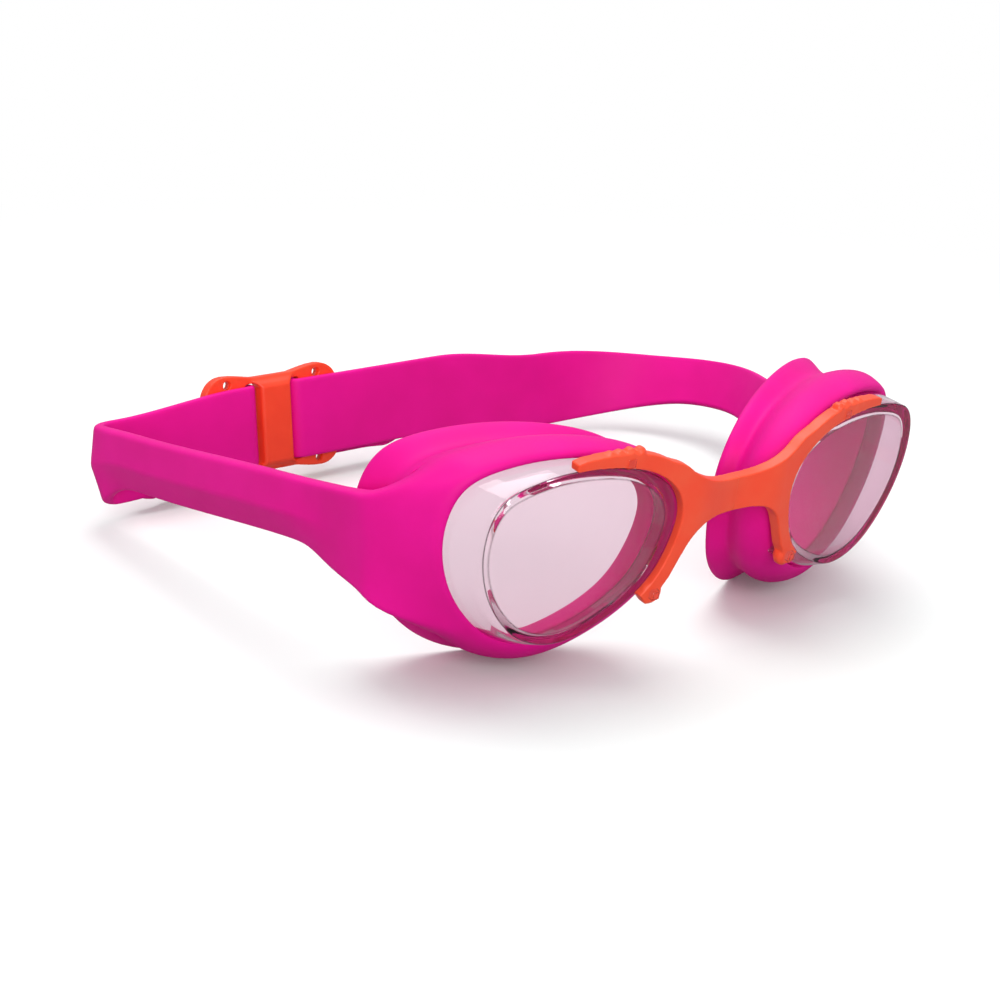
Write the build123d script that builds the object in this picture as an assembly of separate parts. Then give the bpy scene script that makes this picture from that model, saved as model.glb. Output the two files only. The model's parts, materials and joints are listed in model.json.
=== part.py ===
from build123d import *

import os
from math import atan2, cos, degrees, radians, sin, tan

# Swimming goggles: two lensed silicone eyecups, a clip-in nose bridge, and a head strap moulded in
# one with each eyecup, whose two ends fold through a buckle at the back of the head.
#
# Sizes are millimetres. The goggles are built level, as worn: +X to the wearer's left, +Y backwards,
# +Z up. The last step tips them back until they stand on both eyecups and the buckle.

# ---- where the eyecups sit ----
WINDOW_SPACING = 72.0        # between the middles of the two windows
WINDOW_FORWARD = 9.0         # from the datum back to the middle of a window
WINDOW_MIDDLE_HEIGHT = 21.0  # of a window's middle above the level datum
CUP_WRAP = 6.5               # degrees that each cup turns round the face
CUP_LEAN = 14.4              # degrees that the top of a window leans forward
CUP_DROOP = 0.3              # how far a cup drops for each millimetre it runs back

# ---- lens ----
WINDOW_WIDTH = 42.4
WINDOW_ABOVE = 17.6          # from the window's middle to its top edge
WINDOW_BELOW = 16.6
LENS_WALL = 1.8
LENS_DEPTH = 9.5             # from the window to the back of the lens wall, at the middle
LENS_BACK_TURN = 8.0         # degrees that the lens's back edge turns with the face
LENS_FLARE_TEMPLE = 4.4      # how far the wall spreads from the window to its back edge
LENS_FLARE_NASAL = 1.6
LENS_FLARE_UPRIGHT = 2.6

# ---- silicone eyecup ----
LIP = 1.4                    # silicone outside the lens at its front lip
LIP_NOSE_DEPTH = 1.7         # from the window back to the lip, at the nose
LIP_TURN = 8.5
SURROUND_TURN = 10.5
SURROUND_BULGE = 3.4         # the surround's widest ring beyond the lens's back edge
SURROUND_DEPTH = 11.0
WAIST_BULGE = 1.6            # the groove between surround and seal
WAIST_DEPTH = 16.0
SEAL_BULGE = 4.0             # the seal's rim beyond the lens's back edge
SEAL_BULGE_TEMPLE = 3.6
SEAL_DEPTH = 21.5
SEAL_TURN = 17.0
SEAL_WALL = 2.4
CUP_HOLLOW_MARGIN = 2.0      # the hollow inside the lens's back edge

# ---- nose bridge and its clips ----
BRIDGE_GAP = 0.35            # clearance round the bridge where it meets lens and silicone
BAND_WIDTH = 3.2             # band that follows the window's nasal edge
BAND_THICKNESS = 2.2
BAND_TAIL = 3.6              # the upper arm's end, past the window's middle
SADDLE_HEIGHT = 7.0
SADDLE_THICKNESS = 2.4
SADDLE_ROUND = 0.96
SADDLE_ROOT_HEIGHT = 17.0
SADDLE_WAIST_HEIGHT = 8.4    # halfway between the middle and a band
SADDLE_LAP = 2.25            # how far the saddle runs into a band
SADDLE_MIDDLE = (6.0, 27.6)  # depth and height of the saddle's middle
SADDLE_ROOT = (4.8, 26.8)    # depth and height of the saddle where it meets a band
LUG_ACROSS = -7.6            # lens lug, from the window's middle towards the temple
LUG_ABOVE = (-0.6, 1.7)      # bottom and top of the lug, from the window's top edge
LUG_SIZE = 2.4
LUG_PROUD = 0.3              # of the lug in front of the band
KNUCKLE_ABOVE = 2.4          # middle of the knuckle's bumps, from the window's top edge
KNUCKLE_RADIUS = 1.2
PEG_INSET = (3.8, 6.7)       # peg from the window's nasal edge and from its bottom edge
PEG_RADIUS = 1.0
KNOB_RADIUS = 2.6
PEG_PROUD = 1.2              # of the peg in front of the band
EAR_THICKNESS = 2.0          # of the pad on the lens that carries the peg

# ---- strap ----
STRAP_THICKNESS = 1.8
SIDE_HEIGHT = 12.8
BACK_HEIGHT = 18.4
STRAP_TOP = 31.5             # height of the strap's top edge above the level datum
STRAP_START_BEYOND = 7.3     # strap's first point, out from the window's temple edge
STRAP_START_BACK = 38.0
BACK_RUN = 138.0             # from the datum to the strap's back run
WIDENING_START = 38.0        # the strap's lower edge drops between these two depths ahead of
WIDENING_END = 8.0           # the back run
RIGHT_CORNER_BEYOND = -6.0   # where side and back runs would meet, out from the strap's first point
RIGHT_CORNER_RADIUS = 6.0
LEFT_CORNER_BEYOND = 60.5
LEFT_CORNER_RADIUS = 31.0
ARM_HEIGHT = 26.0            # of the temple arm where it leaves the surround
ARM_THICKNESS = 5.0
ARM_ROOT = (6.8, 14.0)       # arm's root in the cup: out from the window's edge, and back
ARM_RISE = 1.0               # of the arm's root from the window's middle
ARM_DIRECTION = (0.3, 1, 0)  # in which the arm leaves the cup

# ---- buckle and strap ends ----
BUCKLE_MIDDLE = -12.5        # across, from the middle plane
BUCKLE_WIDTH = 37.0
BUCKLE_PLATE = 1.8
BUCKLE_RAIL = 2.5            # above and below the strap
BUCKLE_CORNER = 5.5
BUCKLE_WAIST = 1.6           # how far the rails draw in at the middle bar
BAR_WIDTH = 8.0
BAR_PROUD = 2.2              # of the middle bar towards the head
SLOT_WIDTH = 3.6
SLOT_CLEARANCE = 0.5         # above and below the strap in its slot
LAYER_GAP = 0.3              # between the plate and the strap on either side
HOLE_RADIUS = 1.1
HOLE_FROM_END = 6.2
HOLE_FROM_EDGE = 2.0
TAIL_FIXED = 10.0            # first stretch of a tail, which lies over the buckle's end
TAIL_FREE = 20.0             # rest of the tail
TAIL_ROUND = 4.0

STAND_STEPS = 4              # of refining the tilt at which the goggles stand

# The window's shape, as shares of its half width and of its height above or below the middle.
OUTLINE = [
    (1.00, 0.30), (0.87, 0.79), (0.45, 0.98), (-0.08, 1.00), (-0.59, 0.87), (-0.92, 0.58),
    (-0.99, 0.18), (-0.80, -0.40), (-0.39, -0.80), (0.10, -1.00), (0.55, -0.82), (0.88, -0.30),
]

half_window = WINDOW_WIDTH / 2
lip_depth = LIP_NOSE_DEPTH + half_window * tan(radians(LIP_TURN))
peg_x = PEG_INSET[0] - half_window
peg_z = PEG_INSET[1] - WINDOW_BELOW
saddle_half = WINDOW_SPACING / 2 - half_window - BRIDGE_GAP - BAND_WIDTH + SADDLE_LAP
strap_start_out = WINDOW_SPACING / 2 + half_window + STRAP_START_BEYOND
left_corner_out = strap_start_out + LEFT_CORNER_BEYOND
right_corner_out = strap_start_out + RIGHT_CORNER_BEYOND
lobe_edge = BAR_WIDTH / 2 + SLOT_WIDTH
plate_back = BACK_RUN + STRAP_THICKNESS / 2 + LAYER_GAP + BUCKLE_PLATE / 2
tail_back = plate_back + BUCKLE_PLATE / 2 + LAYER_GAP + STRAP_THICKNESS / 2
strap_middle = STRAP_TOP - BACK_HEIGHT / 2


def cup_place():
    """Moves a cup's own frame, with the window's middle at its origin, to the wearer's left eye."""
    middle = (WINDOW_SPACING / 2, WINDOW_FORWARD, WINDOW_MIDDLE_HEIGHT)
    return Location(middle) * Rotation(0, 0, CUP_WRAP) * Rotation(CUP_LEAN, 0, 0)


def window_shape(temple, nasal, above, below):
    """The window's outline, reaching the four given distances from its middle."""
    points = [
        (x * (temple if x > 0 else nasal), z * (above if z > 0 else below))
        for x, z in OUTLINE
    ]
    return Spline(*points, periodic=True)


def ring(depth, turn, temple, nasal, above, below):
    """The window's outline behind the window and lower, its temple side turned further back."""
    across = Vector(cos(radians(turn)), sin(radians(turn)), 0)
    plane = Plane(origin=(0, depth, -CUP_DROOP * depth), x_dir=across, z_dir=across.cross(Vector(0, 0, 1)))
    return Wire([plane.location * window_shape(temple, nasal, above, below).edge()])


def lens_ring(depth, turn, share, grow):
    """A ring on the lens wall at a share of its flare, grown outwards."""
    return ring(
        depth,
        turn,
        half_window + share * LENS_FLARE_TEMPLE + grow,
        half_window + share * LENS_FLARE_NASAL + grow,
        WINDOW_ABOVE + share * LENS_FLARE_UPRIGHT + grow,
        WINDOW_BELOW + share * LENS_FLARE_UPRIGHT + grow,
    )


def lens_form(grow=0.0, front=0.0):
    """The lens's outside form as a solid."""
    return Solid.make_loft(
        [lens_ring(front, 0, 0, grow), lens_ring(LENS_DEPTH, LENS_BACK_TURN, 1, grow)], True
    )


def lens_clips(grow=0.0):
    """The lug over the window and the peg beside it, which the bridge snaps onto."""
    front = BAND_THICKNESS / 2 + LUG_PROUD
    low, high = LUG_ABOVE
    lug = Pos(LUG_ACROSS, (LUG_SIZE - front) / 2, WINDOW_ABOVE + (low + high) / 2) * Box(
        LUG_SIZE + 2 * grow, LUG_SIZE + front + 2 * grow, high - low + 2 * grow
    )
    peg_length = BAND_THICKNESS + 2 * PEG_PROUD
    peg = Pos(peg_x, PEG_PROUD, peg_z) * Rotation(90, 0, 0) * Cylinder(PEG_RADIUS + grow, peg_length)
    return lug + peg


def peg_ear():
    """Pad on the lens wall, behind the bridge's band, that carries the peg."""
    front = BAND_THICKNESS / 2 + BRIDGE_GAP
    return Pos(peg_x, front + EAR_THICKNESS / 2, peg_z) * Rotation(90, 0, 0) * Cylinder(
        KNOB_RADIUS, EAR_THICKNESS
    )


def make_lens():
    hollow = Solid.make_loft(
        [
            lens_ring(LENS_WALL, 0, 0, -LENS_WALL),
            lens_ring(LENS_DEPTH + LENS_WALL, LENS_BACK_TURN, 1, -LENS_WALL),
        ],
        True,
    )
    return lens_form() + lens_clips() + peg_ear() - hollow


def wall_share(side):
    """Share of the lens wall's flare where the lip crosses it: side is 1 at the temple, -1 at the nose."""
    reach = side * half_window
    lip = lip_depth + reach * tan(radians(LIP_TURN))
    return lip / (LENS_DEPTH + reach * tan(radians(LENS_BACK_TURN)))


def lip_ring():
    """The silicone's front edge, a lip's width outside the lens wall all round."""
    return ring(
        lip_depth,
        LIP_TURN,
        half_window + wall_share(1) * LENS_FLARE_TEMPLE + LIP,
        half_window + wall_share(-1) * LENS_FLARE_NASAL + LIP,
        WINDOW_ABOVE + wall_share(0) * LENS_FLARE_UPRIGHT + LIP,
        WINDOW_BELOW + wall_share(0) * LENS_FLARE_UPRIGHT + LIP,
    )


def bulge_ring(depth, turn, grow, grow_temple):
    """A ring of the silicone cup, measured out from the lens's back edge."""
    return ring(
        depth,
        turn,
        half_window + LENS_FLARE_TEMPLE + grow_temple,
        half_window + LENS_FLARE_NASAL + grow,
        WINDOW_ABOVE + LENS_FLARE_UPRIGHT + grow,
        WINDOW_BELOW + LENS_FLARE_UPRIGHT + grow,
    )


def make_skirt(corner_out):
    """Surround, groove and seal of one eyecup, with the temple arm that its strap grows from."""
    outside = Solid.make_loft(
        [
            lip_ring(),
            bulge_ring(SURROUND_DEPTH, SURROUND_TURN, SURROUND_BULGE, SURROUND_BULGE),
            bulge_ring(WAIST_DEPTH, (SURROUND_TURN + SEAL_TURN) / 2, WAIST_BULGE, SURROUND_BULGE),
            bulge_ring(SEAL_DEPTH, SEAL_TURN, SEAL_BULGE, SEAL_BULGE_TEMPLE),
        ],
        True,
    )
    seal_inset = SEAL_WALL + CUP_HOLLOW_MARGIN
    inside = Solid.make_loft(
        [
            lens_ring(LENS_WALL, 0, 0, -CUP_HOLLOW_MARGIN),
            lens_ring(LENS_DEPTH, LENS_BACK_TURN, 1, -CUP_HOLLOW_MARGIN),
            bulge_ring(
                SEAL_DEPTH + SEAL_WALL,
                SEAL_TURN,
                SEAL_BULGE - seal_inset,
                SEAL_BULGE_TEMPLE - seal_inset,
            ),
        ],
        True,
    )
    return outside + make_arm(corner_out) - inside - lens_form() - lens_clips() - peg_ear()


def side_direction(corner_out):
    """Direction of a left side run, from the temple to where it would meet the back run."""
    return Vector(corner_out - strap_start_out, BACK_RUN - STRAP_START_BACK, 0).normalized()


def make_arm(corner_out):
    """Temple arm, in the cup's frame: it narrows from the surround to the strap's first section."""
    out, back = ARM_ROOT
    root_plane = Plane(origin=(half_window + out, back, ARM_RISE), x_dir=(0, 0, 1), z_dir=ARM_DIRECTION)
    start = (strap_start_out, STRAP_START_BACK, STRAP_TOP - SIDE_HEIGHT / 2)
    end_plane = Plane(origin=start, x_dir=(0, 0, 1), z_dir=side_direction(corner_out))
    root = root_plane * Rectangle(ARM_HEIGHT, ARM_THICKNESS)
    end = cup_place().inverse() * (end_plane * Rectangle(SIDE_HEIGHT, STRAP_THICKNESS))
    return loft([root, end])


def make_band():
    """The part of the bridge that follows one window: upper arm, nasal band and the two clips."""
    grow = BRIDGE_GAP + BAND_WIDTH
    outline = window_shape(
        half_window + grow, half_window + grow, WINDOW_ABOVE + grow, WINDOW_BELOW + grow
    )
    far = 2 * WINDOW_WIDTH
    sector = Polygon(
        (BAND_TAIL, far), (-far, far), (-far, peg_z), (peg_x, peg_z), (0, 0), (BAND_TAIL, 0),
        align=None,
    )
    shape = make_face(outline) & sector
    knob = Pos(peg_x, peg_z) * Circle(KNOB_RADIUS)
    bumps = [
        Pos(LUG_ACROSS + side * LUG_SIZE, WINDOW_ABOVE + KNUCKLE_ABOVE) * Circle(KNUCKLE_RADIUS)
        for side in (-1, 0, 1)
    ]
    flat = Plane.XZ * (shape + knob + bumps)
    band = extrude(flat, BAND_THICKNESS / 2, both=True)
    room = lens_form(BRIDGE_GAP, -BAND_THICKNESS)
    return band - room - lens_clips(BRIDGE_GAP)


def make_bridge():
    """Saddle over the nose with a band at each end, in one piece."""
    left = cup_place() * make_band()
    middle_back, middle_height = SADDLE_MIDDLE
    root_back, root_height = SADDLE_ROOT

    def section(across, back, height, tall):
        plane = Plane(origin=(across, back, height), x_dir=(0, 0, 1), z_dir=(1, 0, 0))
        return plane * RectangleRounded(tall, SADDLE_THICKNESS, SADDLE_ROUND)

    half = loft([
        section(0, middle_back, middle_height, SADDLE_HEIGHT),
        section(
            saddle_half / 2,
            (middle_back + root_back) / 2,
            (middle_height + root_height) / 2,
            SADDLE_WAIST_HEIGHT,
        ),
        section(saddle_half, root_back, root_height, SADDLE_ROOT_HEIGHT),
    ])
    return left + half + mirror(left, Plane.YZ) + mirror(half, Plane.YZ)


def upright_ribbon(path):
    """A strap standing on edge along a level path, its top edge at the strap's height."""
    section = Plane(origin=path @ 0, x_dir=(0, 0, 1), z_dir=path % 0)
    return sweep(section * Rectangle(BACK_HEIGHT, STRAP_THICKNESS), path)


def side_relief():
    """Everything below the strap's lower edge on the side runs, which are less tall than the back."""
    low, side_low = STRAP_TOP - BACK_HEIGHT, STRAP_TOP - SIDE_HEIGHT
    below = low - STRAP_THICKNESS
    start, end = BACK_RUN - WIDENING_START, BACK_RUN - WIDENING_END
    profile = Polygon(
        (0, below), (0, side_low), (start, side_low), (end, low), (end, below),
        align=None,
    )
    return extrude(Plane.YZ * profile, 2 * left_corner_out, both=True)


def make_strap(side, corner_out, corner_radius):
    """Side run, corner and back run of one strap; side is 1 on the wearer's left, -1 on the right."""
    lobe = BUCKLE_MIDDLE + side * lobe_edge
    corners = [
        (side * strap_start_out, STRAP_START_BACK, strap_middle),
        (side * corner_out, BACK_RUN, strap_middle),
        (lobe, BACK_RUN, strap_middle),
    ]
    path = FilletPolyline(*corners, radius=corner_radius)
    run, back = path.edges().filter_by(GeomType.LINE).sort_by(Axis.Y)
    corner = path.edges().filter_by(GeomType.CIRCLE)[0]
    relief = side_relief()
    return upright_ribbon(run) - relief, upright_ribbon(corner) - relief, upright_ribbon(back)


def make_fold(side):
    """The strap's U-turn through the slot, round the inner edge of the buckle's end."""
    radius = plate_back - BACK_RUN
    outer = Circle(radius + STRAP_THICKNESS / 2)
    inner = Circle(radius - STRAP_THICKNESS / 2)
    half = Pos(-side * 2 * radius, 0) * Rectangle(4 * radius, 4 * radius)
    place = Pos(BUCKLE_MIDDLE + side * lobe_edge, plate_back, strap_middle)
    return place * extrude((outer - inner) & half, BACK_HEIGHT / 2, both=True)


def make_tail(side):
    """The strap's free end outside the buckle: the stretch over the plate, then the rounded end."""
    lobe = BUCKLE_MIDDLE + side * lobe_edge
    place = Pos(lobe + side * TAIL_FIXED / 2, tail_back, strap_middle)
    first = place * Box(TAIL_FIXED, STRAP_THICKNESS, BACK_HEIGHT)
    shape = Rectangle(TAIL_FREE, BACK_HEIGHT)
    end_corners = shape.vertices().group_by(Axis.X)[-1 if side > 0 else 0]
    shape = fillet(end_corners, TAIL_ROUND)
    flat = Plane.XZ * shape
    end = extrude(flat, STRAP_THICKNESS / 2, both=True)
    return first, Pos(lobe + side * (TAIL_FIXED + TAIL_FREE / 2), tail_back, strap_middle) * end


def make_buckle():
    """Waisted plate with a slot each side of a middle bar that stands proud towards the head."""
    slot_height = BACK_HEIGHT + 2 * SLOT_CLEARANCE
    height = slot_height + 2 * BUCKLE_RAIL
    plate = RectangleRounded(BUCKLE_WIDTH, height, BUCKLE_CORNER)
    for side in (-1, 1):
        plate -= Pos(0, side * (height / 2 + BUCKLE_WIDTH - BUCKLE_WAIST)) * Circle(BUCKLE_WIDTH)
        plate -= Pos(side * (BAR_WIDTH + SLOT_WIDTH) / 2, 0) * Rectangle(SLOT_WIDTH, slot_height)
        for up in (-1, 1):
            across = side * (BUCKLE_WIDTH / 2 - HOLE_FROM_END)
            plate -= Pos(across, up * (height / 2 - HOLE_FROM_EDGE)) * Circle(HOLE_RADIUS)
    body = extrude(Plane.XZ * plate, BUCKLE_PLATE / 2, both=True)
    bar = Pos(0, -(BUCKLE_PLATE + BAR_PROUD) / 2, 0) * Box(BAR_WIDTH, BAR_PROUD, slot_height)
    return Pos(BUCKLE_MIDDLE, plate_back, strap_middle) * (body + bar)


def stand(pieces):
    """Tips the goggles back onto eyecups and buckle, and puts the origin under the middle of them."""
    tilt = 0.0
    for _ in range(STAND_STEPS):
        turn = Rotation(-tilt, 0, 0)
        front = (turn * pieces["left_skirt"]).bounding_box().min.Z
        back = (turn * pieces["buckle"]).bounding_box().min.Z
        tilt += degrees(atan2(back - front, plate_back - SURROUND_DEPTH - WINDOW_FORWARD))
    turn = Rotation(-tilt, 0, 0)
    box = Compound([turn * piece for piece in pieces.values()]).bounding_box()
    place = Pos(-box.center().X, -box.center().Y, -box.min.Z) * turn
    return tilt, place, {name: place * piece for name, piece in pieces.items()}


level = {
    "nose_bridge": make_bridge(),
    "left_lens": cup_place() * make_lens(),
    "left_skirt": cup_place() * make_skirt(left_corner_out),
    "right_lens": mirror(cup_place() * make_lens(), Plane.YZ),
    "right_skirt": mirror(cup_place() * make_skirt(right_corner_out), Plane.YZ),
    "buckle": make_buckle(),
}
for name, side, corner_out, corner_radius in (
    ("left", 1, left_corner_out, LEFT_CORNER_RADIUS),
    ("right", -1, right_corner_out, RIGHT_CORNER_RADIUS),
):
    runs = make_strap(side, corner_out, corner_radius)
    level[f"{name}_strap_side"], level[f"{name}_strap_corner"], level[f"{name}_strap_back"] = runs
    level[f"{name}_strap_fold"] = make_fold(side)
    level[f"{name}_tail_run"], level[f"{name}_tail_end"] = make_tail(side)

tilt, place, parts = stand(level)

os.makedirs("parts", exist_ok=True)
for name, piece in parts.items():
    export_step(piece, f"parts/{name}.step")
print(f"tilt {tilt:.3f} degrees, origin moved by {place.position}")
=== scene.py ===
import json
import math

import bmesh
import bpy
from mathutils import Matrix, Vector


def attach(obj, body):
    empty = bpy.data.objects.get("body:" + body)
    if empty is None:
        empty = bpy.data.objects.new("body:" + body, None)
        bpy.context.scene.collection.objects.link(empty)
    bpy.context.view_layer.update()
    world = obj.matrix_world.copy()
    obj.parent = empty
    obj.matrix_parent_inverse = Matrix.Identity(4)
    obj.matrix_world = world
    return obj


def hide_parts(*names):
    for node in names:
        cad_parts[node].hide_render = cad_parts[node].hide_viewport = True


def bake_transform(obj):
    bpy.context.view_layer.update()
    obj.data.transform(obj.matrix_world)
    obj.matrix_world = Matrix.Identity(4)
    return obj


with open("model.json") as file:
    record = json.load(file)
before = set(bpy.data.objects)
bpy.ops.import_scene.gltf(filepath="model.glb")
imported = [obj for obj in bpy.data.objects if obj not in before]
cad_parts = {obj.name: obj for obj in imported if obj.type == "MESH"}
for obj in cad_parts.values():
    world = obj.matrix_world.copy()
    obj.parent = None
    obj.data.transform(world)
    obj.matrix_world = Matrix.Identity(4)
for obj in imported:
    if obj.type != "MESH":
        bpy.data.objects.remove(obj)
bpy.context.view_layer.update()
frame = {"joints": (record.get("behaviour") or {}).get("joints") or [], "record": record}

# Swimming goggles. Lengths are millimetres in the goggles' level frame, as worn: +X to the wearer's
# left, +Y backwards, +Z up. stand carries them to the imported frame, in metres.
MM = 0.001

# ---- eyecups ----
WRAP = math.radians(6.5)         # each cup's turn round the face
LEAN = math.radians(14.4)        # of a window's top, forward
DROOP = 0.3                      # of a cup for each millimetre it runs back
WINDOW_MIDDLE = Vector((36.0, 9.0, 21.0))  # of the left window
WINDOW = (21.2, 21.2, 17.6, 16.6)  # from its middle to the temple, the nose, the top and the bottom
FLARE = (4.4, 1.6, 2.6, 2.6)       # how far the lens wall spreads towards each of those
LENS_WALL = 1.8
LENS_DEPTH = 9.5
LENS_TURN = 8.0                  # degrees that the lens's back edge turns with the face
LIP_TURN = 8.5                   # and the silicone's front lip
SEAL_TURN = 17.0                 # and the seal
LUG_ACROSS = -7.6                # middle of the lug over each window
LUG_BOTTOM, LUG_TOP = 17.0, 19.3
LUG_WIDTH = 2.2
LUG_PROUD = 1.4                  # of the window
LUG_DEEP = 2.4                   # behind the window's face
PEG = (-17.4, -9.9)              # middle of the peg at the nose
PEG_WIDTH = 2.0
PEG_PROUD = 2.2
PEG_DEEP = 3.2

# ---- strap ----
STRAP_START = Vector((64.5, 38.0, 0.0))
STRAP_TOP = 31.5
SIDE_HEIGHT = 12.3
BACK_HEIGHT = 18.4
SIDE_THICKNESS = 2.5
BACK_THICKNESS = 1.8
BACK_LIFT = 2.4                  # of the back run at the buckle, above the height it has at its corners
BACK_RUN = 138.0
PLATE_BACK = 140.1               # middle of the buckle's plate
BUCKLE_MIDDLE = -12.5
LOBE_EDGE = 7.6                  # from the buckle's middle to its end plates
TAIL_LENGTH = 30.0
TAIL_ROUND = 4.0                 # radius of a tail's corners
TAIL_DROP = 1.6                  # of a tail below its back run, past the buckle
TAIL_CLOSE = 1.9                 # of a tail's end, towards its back run
SEAM_PAST_CORNER = 3.0           # where a moulding's corner meets its back run
FAR_HEIGHT = 11.6                # of the wearer's left side run, which narrows
RIDGE_AT = 0.5                   # share of the strap's height at which its outer ridge runs
EDGE_BULGE = 0.22                # share of the thickness by which the strap's edges are rounded
LIFT_RUN = 34.0                  # from a corner, over which the back run rises to the buckle
CORNERS = {1: (125.0, 31.0), -1: (60.0, 5.0)}   # corner's distance out, and its radius, by side
SIDE_LEAN = {1: math.radians(27), -1: math.radians(8)}  # of a side run's top edge, inwards
# How far each side run is lifted, by the distance along it, and its corner.
LIFTS = {-1: [(-9, 2.6), (14, 2.2), (80, 0.6)], 1: [(-9, 1.0), (50, -4.4), (90, -4.0)]}
CORNER_LIFT = {-1: 0.0, 1: -1.4}

# ---- bridge ----
BRIDGE_GAP = 0.35                # round the window
BRIDGE_THICKNESS = 2.4
BUMPS = ((-2.3, 1.0), (0, 1.15), (2.3, 1.05), (4.3, 1.0))  # from the lug's middle, and radius
BUMP_HEIGHT = 19.7               # of their middles
KNOB_RADIUS = 2.4
DRUM_LENGTH = 2.5                # of bumps and knobs
# The band from its tapered tail over the top and round the nose to the knob: share of the way
# round the window, and width.
BAND = [
    (0.708, 1.5), (0.72, 1.9), (0.75, 2.3), (0.78, 2.7), (0.82, 3.1), (0.86, 3.3), (0.9, 3.4),
    (0.94, 3.4), (0.98, 3.4), (1.02, 3.2), (1.06, 3.0), (1.09, 2.9), (1.115, 2.9),
]
BAND_BELOW, BAND_ABOVE = 1.065, 0.865  # where the saddle's lower and upper edges leave the band
UNDER_SADDLE = [(-23.0, -2.6), (-24.9, 0.4), (-27.6, 2.4), (-31.0, 3.2), (-34.0, 3.3), (-37.2, 3.3)]
OVER_SADDLE = [(-37.2, 10.3), (-34.0, 10.35), (-30.5, 10.8), (-27.0, 11.8), (-23.8, 13.4), (-20.8, 15.6)]
SADDLE_BACK = 2.4                # of the saddle's middle, behind the bands
SADDLE_BEND = 12.0               # half the width over which it comes back

# ---- buckle ----
QUARTERS = ((1, 1), (-1, 1), (-1, -1), (1, -1))  # signs across and up, anticlockwise
FUSED_GRAIN = 0.2                # size of the cells in which flat mouldings are fused
BUCKLE_HALF_WIDTH, BUCKLE_HALF_HEIGHT = 18.5, 12.2
BUCKLE_CORNER = 5.5
BUCKLE_WAIST = 1.7               # by which its middle is lower than its ends
BUCKLE_THICKNESS = 2.5
SLOT_ACROSS = 5.8
SLOT_WIDTH, SLOT_HEIGHT, SLOT_CORNER = 3.6, 19.4, 0.9
HOLE_RADIUS = 1.1
HOLE_ACROSS, HOLE_UP = 12.3, 10.2
BAR_HALF_HEIGHT = 11.2
BAR_ROOT = 8.8                   # height at which the bar starts to spread into the rails
BAR_SPREAD = 2.4                 # height over which it does
BAR_HALF_WIDTH = (4.1, 6.6)      # at its middle and in the rails
BAR_FRONT = (-3.1, -1.1)         # the same, towards the head
BAR_BACK = 0.4

# Section of the silicone round a lens: depth, turn, and reach beyond the lens wall's back edge to
# the temple, the nose, the top and the bottom. It runs outwards over the surround, back over the
# seal, and in again behind the lens.
SECTION = [
    (5.60, LIP_TURN, (-1.65, -1.20, -1.30, -1.30)),
    (4.70, LIP_TURN, (-1.35, -0.95, -1.05, -1.05)),
    (4.85, LIP_TURN, (-0.30, 0.10, 0.00, 0.00)),
    (6.20, 9.0, (1.30, 1.40, 1.00, 1.60)),
    (8.60, 10.0, (2.40, 2.80, 2.20, 3.00)),
    (11.2, 10.5, (2.80, 3.40, 2.80, 3.50)),
    (13.6, 12.0, (2.80, 2.80, 2.30, 3.00)),
    (15.8, 13.5, (2.40, 1.70, 1.20, 1.70)),
    (17.4, 15.0, (2.20, 1.40, 0.90, 1.30)),
    (19.2, 16.5, (3.60, 2.60, 2.30, 2.90)),
    (21.5, SEAL_TURN, (5.20, 4.10, 4.10, 4.60)),
    (22.4, SEAL_TURN, (4.60, 3.60, 3.60, 4.10)),
    (21.9, SEAL_TURN, (1.80, 2.00, 1.90, 2.00)),
    (18.5, 15.0, (0.10, -0.20, -0.30, -0.20)),
    (13.5, 11.0, (-1.70, -1.70, -1.70, -1.70)),
    (10.6, LENS_TURN, (-2.00, -2.00, -2.00, -2.00)),
    (9.75, LENS_TURN, (-1.90, -1.90, -1.90, -1.90)),
    (9.65, LENS_TURN, (0.10, 0.10, 0.10, 0.10)),
]
AROUND = 48
ARM_FROM, ARM_TO = 17, 29        # the steps round the cup between which the temple arm grows
ARM_FRONT, ARM_BACK = 3, 6       # and the rings between which it does

# The window's shape, as shares of its reach each way, from the nose round under the eye.
OUTLINE = [
    (-0.99, 0.18), (-0.80, -0.40), (-0.39, -0.80), (0.10, -1.00), (0.55, -0.82), (0.88, -0.30),
    (1.00, 0.30), (0.87, 0.79), (0.45, 0.98), (-0.08, 1.00), (-0.59, 0.87), (-0.92, 0.58),
]

joints = {joint["name"]: joint for joint in frame["joints"]}
mounts = {mount["name"]: mount for mount in frame["record"]["mounts"]}
upright = Vector(joints["left_cup_flex"]["axis"])
tilt = Matrix.Rotation(-math.atan2(upright.y, upright.z), 4, "X")
left_window = Vector(mounts["left_window"]["pos_m"])
stand = Matrix.Translation(left_window - tilt @ (WINDOW_MIDDLE * MM)) @ tilt @ Matrix.Scale(MM, 4)
cup = Matrix.Translation(WINDOW_MIDDLE) @ Matrix.Rotation(WRAP, 4, "Z") @ Matrix.Rotation(LEAN, 4, "X")
MIRROR = Matrix.Scale(-1, 4, (1, 0, 0))
SIDES = {"left": 1, "right": -1}


# ---------------------------------------------------------------- materials
def linear(code):
    """A colour written as sRGB hex, as linear RGBA."""
    parts = [int(code[i:i + 2], 16) / 255 for i in (1, 3, 5)]
    return [c / 12.92 if c <= 0.04045 else ((c + 0.055) / 1.055) ** 2.4 for c in parts] + [1.0]


def add(tree, kind, settings=None, **links):
    """A node of a kind, its sockets or properties set, and its inputs linked from other sockets."""
    node = tree.nodes.new(kind)
    for key, value in (settings or {}).items():
        if isinstance(key, int) or key in node.inputs:
            node.inputs[key].default_value = value
        else:
            setattr(node, key, value)
    for key, source in links.items():
        socket = node.inputs[int(key[1:]) if key[1:].isdigit() else key.replace("_", " ")]
        tree.links.new(source, socket)
    return node


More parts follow.
